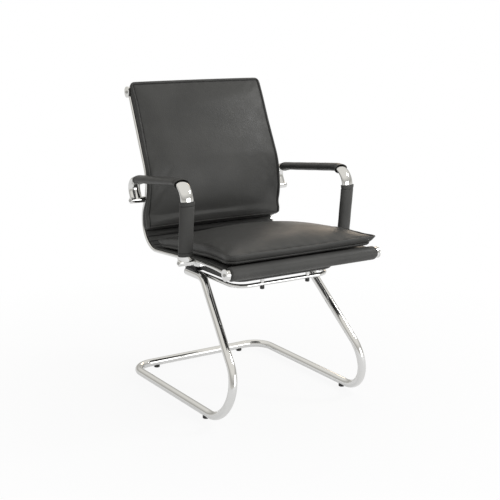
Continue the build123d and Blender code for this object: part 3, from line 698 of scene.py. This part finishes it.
# Arm sleeves
# Leather sleeves pulled over the arm's post and over its top, turned in and sewn at both ends.
# A seam runs along the underside, and the mouth at the elbow stands a little open.
sleeve_leather = leather(
    "sleeve_leather", dark=(0.057, 0.057, 0.0546), light=(0.074, 0.0736, 0.0706),
    gloss=0.40, cells=420.0,
)
sleeve_thick, sleeve_wall = 0.0029, 0.0018
hem, hem_dip, hem_width, hem_seam, hem_shade = 0.011, 0.0009, 0.0025, 0.003, 0.7
seam_turn, seam_rise, seam_width = 0.75, 0.0008, 0.02
flare_reach, sag_reach, ripple, ripple_ramp = 0.012, 0.028, 0.00015, 0.03


def sleeve(name, node, first, last, flares, slant, sag, side):
    """A sleeve round the arm's oval: a grid rolled up along a stretch of the arm's line."""
    bm = bmesh.new()
    bmesh.ops.create_grid(bm, x_segments=50, y_segments=130, size=1.0)
    seam_and_shade_mask = bm.verts.layers.float.new("seam")
    for vert in bm.verts:
        turn = (vert.co.x + 1) / 2
        start = first + slant * (1 + sin(2 * pi * turn)) / 2
        distance = start + (last - start) * (vert.co.y + 1) / 2
        from_end = min(distance - start, last - distance)
        flare = flares[0] if distance - start < last - distance else flares[1]
        swell = sleeve_thick
        swell += flare * max(0.0, 1 - from_end / flare_reach) ** 2
        swell -= hem_dip * max(0.0, 1 - abs(from_end - hem) / hem_width)
        wave = sin(distance * 95 + 4 * sin(2 * pi * turn))
        swell += ripple * wave * min(1.0, from_end / ripple_ramp)
        swell += seam_rise * max(0.0, 1 - abs(turn - seam_turn) / seam_width)
        swell += sag * max(0.0, -sin(2 * pi * turn)) * max(0.0, 1 - (last - distance) / sag_reach)
        # The hem groove gets a dark seam line with painted shade in the leather's colour, at seven
        # tenths of the full darkness.
        vert[seam_and_shade_mask] = hem_shade * max(0.0, 1 - abs(from_end - hem) / hem_seam)
        vert.co = round_arm(distance, turn, swell, side)
    bmesh.ops.remove_doubles(bm, verts=bm.verts, dist=1e-6)
    piece = new_piece(name, bm, sleeve_leather)
    wall = piece.modifiers.new("wall", "SOLIDIFY")
    wall.thickness, wall.offset = sleeve_wall, -1.0
    smooth = piece.modifiers.new("smooth", "SUBSURF")
    smooth.levels = smooth.render_levels = 1
    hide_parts(node)


foot_gap, bend_over, mouth_turn, rear_gap = 0.019, 0.0087, 33.0, 0.010
bend_begins = arm_runs[0][0]
bend_ends = bend_begins + arm_runs[1][0]
rear_begins = bend_ends + arm_runs[2][0]
for side, word in ((1, "right"), (-1, "left")):
    sleeve(
        f"post_sleeve_leather_{word}", f"post_sleeve_{word}",
        first=foot_gap, last=bend_begins + bend_over,
        flares=(0.0, 0.0012), slant=0.0, sag=0.0, side=side,
    )
    sleeve(
        f"top_sleeve_leather_{word}", f"top_sleeve_{word}",
        first=bend_ends - elbow_radius * radians(mouth_turn), last=rear_begins - rear_gap,
        flares=(0.0024, 0.0), slant=0.007, sag=0.004, side=side,
    )

# Studio
# A plain pale floor in an even white room, lit by wide soft lamps, as in a catalogue picture.
# The floor runs out into the white of the room, and grey walls stand low round it in the chrome.
floor_size, floor_in_chrome = 12.0, 0.55
pale_floor, tree, shader = new_finish(
    "pale_floor", (0.85, 0.85, 0.85), metallic=0.0, roughness=0.7
)
shader.inputs["Specular IOR Level"].default_value = 0.1
floor_tint = tinted(tree, grain(tree, 2.0), (0.84, 0.84, 0.84), (0.86, 0.86, 0.86))
tree.links.new(floor_tint, shader.inputs["Base Color"])
glow = add_node(tree, "ShaderNodeEmission", Color=(1, 1, 1, 1), Strength=1.0)
place = add_node(tree, "ShaderNodeTexCoord")
away = add_node(tree, "ShaderNodeVectorMath", {"operation": "LENGTH"})
tree.links.new(place.outputs["Object"], away.inputs[0])
fade = spread(tree, away.outputs["Value"], 0.9, 1.0, given=(0.4, 1.5))
rays = add_node(tree, "ShaderNodeLightPath")
direct = add_node(tree, "ShaderNodeMath", {"operation": "MULTIPLY_ADD"})
tree.links.new(rays.outputs["Is Glossy Ray"], direct.inputs[0])
direct.inputs[1].default_value = floor_in_chrome
tree.links.new(rays.outputs["Is Camera Ray"], direct.inputs[2])
shown = add_node(tree, "ShaderNodeMath", {"operation": "MULTIPLY"})
tree.links.new(fade, shown.inputs[0])
tree.links.new(direct.outputs[0], shown.inputs[1])
blend = add_node(tree, "ShaderNodeMixShader", Fac=shown.outputs[0])
tree.links.new(shader.outputs[0], blend.inputs[1])
tree.links.new(glow.outputs[0], blend.inputs[2])
tree.links.new(blend.outputs[0], tree.nodes["Material Output"].inputs["Surface"])
bm = bmesh.new()
bmesh.ops.create_grid(bm, x_segments=8, y_segments=8, size=floor_size)
mesh = bpy.data.meshes.new("studio_floor")
bm.to_mesh(mesh)
bm.free()
mesh.materials.append(pale_floor)
floor = bpy.data.objects.new("studio_floor", mesh)
bpy.context.scene.collection.objects.link(floor)

room = bpy.data.worlds.new("white_room")
bpy.context.scene.world = room
room.use_nodes = True
tree = room.node_tree
background = tree.nodes["Background"]
background.inputs["Color"].default_value = (1, 1, 1, 1)
white = add_node(tree, "ShaderNodeBackground", Color=(1, 1, 1, 1), Strength=1.0)
walls = add_node(tree, "ShaderNodeBackground", Strength=1.0)
direction = add_node(tree, "ShaderNodeTexCoord")
apart = add_node(tree, "ShaderNodeSeparateXYZ", Vector=direction.outputs["Generated"])
brightness = spread(tree, apart.outputs["X"], 0.42, 0.74, given=(-1.0, 0.2))
tree.links.new(brightness, background.inputs["Strength"])
bands = add_node(tree, "ShaderNodeValToRGB", Fac=apart.outputs["Z"])
ramp = bands.color_ramp
wall_shades = ((0.0, 0.72), (0.20, 0.44), (0.36, 0.60), (0.60, 0.88))
wall_hue = (1.0, 0.98, 0.93)
for number, (height, shade) in enumerate(wall_shades):
    stop = ramp.elements[number] if number < 2 else ramp.elements.new(height)
    stop.position = height
    stop.color = (*(shade * share for share in wall_hue), 1)
tree.links.new(bands.outputs["Color"], walls.inputs["Color"])
rays = add_node(tree, "ShaderNodeLightPath")
mirrored = add_node(tree, "ShaderNodeMixShader", Fac=rays.outputs["Is Glossy Ray"])
tree.links.new(background.outputs[0], mirrored.inputs[1])
tree.links.new(walls.outputs[0], mirrored.inputs[2])
seen = add_node(tree, "ShaderNodeMixShader", Fac=rays.outputs["Is Camera Ray"])
tree.links.new(mirrored.outputs[0], seen.inputs[1])
tree.links.new(white.outputs[0], seen.inputs[2])
tree.links.new(seen.outputs[0], tree.nodes["World Output"].inputs["Surface"])


def lamp(name, place, target, size, watts, colour):
    """A wide soft lamp aimed at a point, out of the camera's sight."""
    light = bpy.data.lights.new(name, "AREA")
    light.shape = "RECTANGLE"
    light.size, light.size_y = size
    light.energy = watts
    light.color = colour
    body = bpy.data.objects.new(name, light)
    body.location = place
    body.rotation_euler = (Vector(target) - Vector(place)).to_track_quat("-Z", "Y").to_euler()
    body.visible_camera = False
    bpy.context.scene.collection.objects.link(body)


lamp(
    "key_lamp", place=(2.2, -1.1, 2.35), target=(0, 0, 0.55), size=(0.5, 0.5),
    watts=21.0, colour=(1, 1, 1),
)
lamp(
    "fill_lamp", place=(1.2, -3.1, 0.8), target=(0, 0, 0.5), size=(2.0, 1.4),
    watts=31.0, colour=(1, 1, 1),
)
lamp(
    "warm_lamp", place=(2.5, 2.25, 1.75), target=(0, -0.1, 0.5), size=(1.1, 0.9),
    watts=10.0, colour=(1.0, 0.80, 0.60),
)

camera_data = bpy.data.cameras.new("camera")
camera_data.sensor_width = 36.0
camera_data.lens = 73.84
camera = bpy.data.objects.new("camera", camera_data)
camera.location = (-1.6288, -2.5792, 1.1256)
camera.rotation_euler = (radians(77.21), 0, radians(-32.51))
bpy.context.scene.collection.objects.link(camera)
bpy.context.scene.camera = camera
bpy.context.scene.view_settings.view_transform = "Standard"

bpy.context.view_layer.update()
